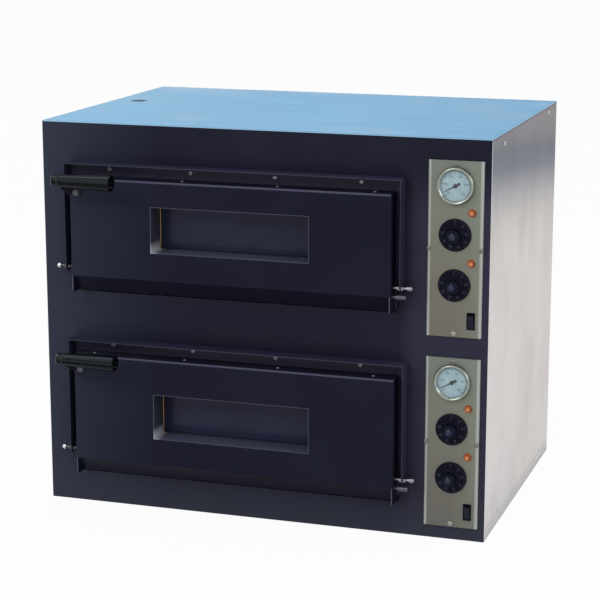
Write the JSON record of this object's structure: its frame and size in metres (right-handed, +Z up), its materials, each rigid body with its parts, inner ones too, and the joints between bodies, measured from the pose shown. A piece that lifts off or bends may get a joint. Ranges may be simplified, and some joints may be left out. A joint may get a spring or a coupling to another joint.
{
  "type": "countertop double-deck pizza oven",
  "caption": "Countertop pizza oven with stacked chambers, drop-down windowed doors with side grips, and side control panels with thermometer, knobs, lamps and rocker.",
  "frame": {"origin": "middle of the base, on the surface the oven stands on", "axes": "+X right seen from the front, +Y to the back, +Z up"},
  "size_m": [0.8844, 0.7365, 0.755],
  "materials": {
    "black_steel": "satin",
    "stainless": "satin",
    "blue_film": "gloss",
    "panel_steel": "satin",
    "zinc_steel": "polished",
    "galvanised": "satin",
    "liner_steel": "satin",
    "mineral_wool": "matte",
    "stone": "matte",
    "heater_steel": "satin",
    "black_plastic": "satin",
    "gloss_black": "gloss",
    "orange_lens": "gloss",
    "clear_glass": "gloss",
    "door_glass": "gloss",
    "lamp_glass": "gloss",
    "white_ceramic": "satin",
    "copper_tube": "satin",
    "chrome": "polished",
    "needle_black": "satin"
  },
  "bodies": {
    "cabinet": {"base_tray": "stainless", "left_side_panel": "stainless", "right_side_panel": "stainless", "top_panel": "blue_film", "rear_panel": "stainless", "lower_fascia": "black_steel", "upper_fascia": "black_steel", "corner_posts": "galvanised", "control_partition": "galvanised", "cabinet_screws": "zinc_steel", "flue_collar": "galvanised", "flue_manifold": "galvanised", "cable_gland": "black_plastic", "terminal_block": "white_ceramic", "wiring_loom": "black_plastic", "chamber_insulation": "mineral_wool", "baking_stones": "stone", "top_heaters": "heater_steel", "bottom_heaters": "heater_steel", "oven_lamps": "lamp_glass", "thermostats": "white_ceramic", "sensor_bulbs": "copper_tube", "pilot_lamps": "orange_lens", "switch_bodies": "black_plastic", "gauge_glasses": "clear_glass", "panel_screws": "zinc_steel", "surround_screws": "zinc_steel", "hinge_bolts": "zinc_steel", "lower_chamber_liner": "liner_steel", "lower_door_surround": "black_steel", "lower_control_panel": "panel_steel", "lower_gauge_case": "chrome", "upper_chamber_liner": "liner_steel", "upper_door_surround": "black_steel", "upper_control_panel": "panel_steel", "upper_gauge_case": "chrome"},
    "lower_door": {"lower_door_shell": "black_steel", "lower_door_inner_panel": "liner_steel", "lower_door_insulation": "mineral_wool", "lower_window_sleeve": "liner_steel", "lower_window_pane": "door_glass", "lower_handle_bracket": "black_steel", "lower_handle_grip": "gloss_black", "lower_door_fasteners": "zinc_steel"},
    "lower_top_dial": {"lower_top_knob": "black_plastic"},
    "lower_bottom_dial": {"lower_bottom_knob": "black_plastic"},
    "lower_switch_key": {"lower_rocker": "gloss_black"},
    "lower_gauge_hand": {"lower_gauge_needle": "needle_black"},
    "upper_door": {"upper_door_shell": "black_steel", "upper_door_inner_panel": "liner_steel", "upper_door_insulation": "mineral_wool", "upper_window_sleeve": "liner_steel", "upper_window_pane": "door_glass", "upper_handle_bracket": "black_steel", "upper_handle_grip": "gloss_black", "upper_door_fasteners": "zinc_steel"},
    "upper_top_dial": {"upper_top_knob": "black_plastic"},
    "upper_bottom_dial": {"upper_bottom_knob": "black_plastic"},
    "upper_switch_key": {"upper_rocker": "gloss_black"},
    "upper_gauge_hand": {"upper_gauge_needle": "needle_black"}
  },
  "joints": [
    {"name": "lower_door_hinge", "type": "hinge", "parent": "cabinet", "child": "lower_door", "pos_m": [0, -0.3295, 0.114], "axis": [1, 0, 0], "range_deg": [0, 90]},
    {"name": "lower_top_knob_turn", "type": "hinge", "parent": "cabinet", "child": "lower_top_dial", "pos_m": [0.376, -0.3175, 0.215], "axis": [0, 1, 0], "range_deg": [0, 280]},
    {"name": "lower_bottom_knob_turn", "type": "hinge", "parent": "cabinet", "child": "lower_bottom_dial", "pos_m": [0.376, -0.3175, 0.122], "axis": [0, 1, 0], "range_deg": [0, 280]},
    {"name": "lower_rocker_tilt", "type": "hinge", "parent": "cabinet", "child": "lower_switch_key", "pos_m": [0.408, -0.3085, 0.057], "axis": [1, 0, 0], "range_deg": [-24, 0]},
    {"name": "lower_needle_swing", "type": "hinge", "parent": "cabinet", "child": "lower_gauge_hand", "pos_m": [0.376, -0.316, 0.305], "axis": [0, 1, 0], "range_deg": [-16, 254], "stiffness_Nm_per_rad": 0.001},
    {"name": "upper_door_hinge", "type": "hinge", "parent": "cabinet", "child": "upper_door", "pos_m": [0, -0.3295, 0.479], "axis": [1, 0, 0], "range_deg": [0, 90]},
    {"name": "upper_top_knob_turn", "type": "hinge", "parent": "cabinet", "child": "upper_top_dial", "pos_m": [0.376, -0.3175, 0.58], "axis": [0, 1, 0], "range_deg": [0, 280]},
    {"name": "upper_bottom_knob_turn", "type": "hinge", "parent": "cabinet", "child": "upper_bottom_dial", "pos_m": [0.376, -0.3175, 0.487], "axis": [0, 1, 0], "range_deg": [0, 280]},
    {"name": "upper_rocker_tilt", "type": "hinge", "parent": "cabinet", "child": "upper_switch_key", "pos_m": [0.408, -0.3085, 0.422], "axis": [1, 0, 0], "range_deg": [-24, 0]},
    {"name": "upper_needle_swing", "type": "hinge", "parent": "cabinet", "child": "upper_gauge_hand", "pos_m": [0.376, -0.316, 0.67], "axis": [0, 1, 0], "range_deg": [-16, 254], "stiffness_Nm_per_rad": 0.001}
  ]
}
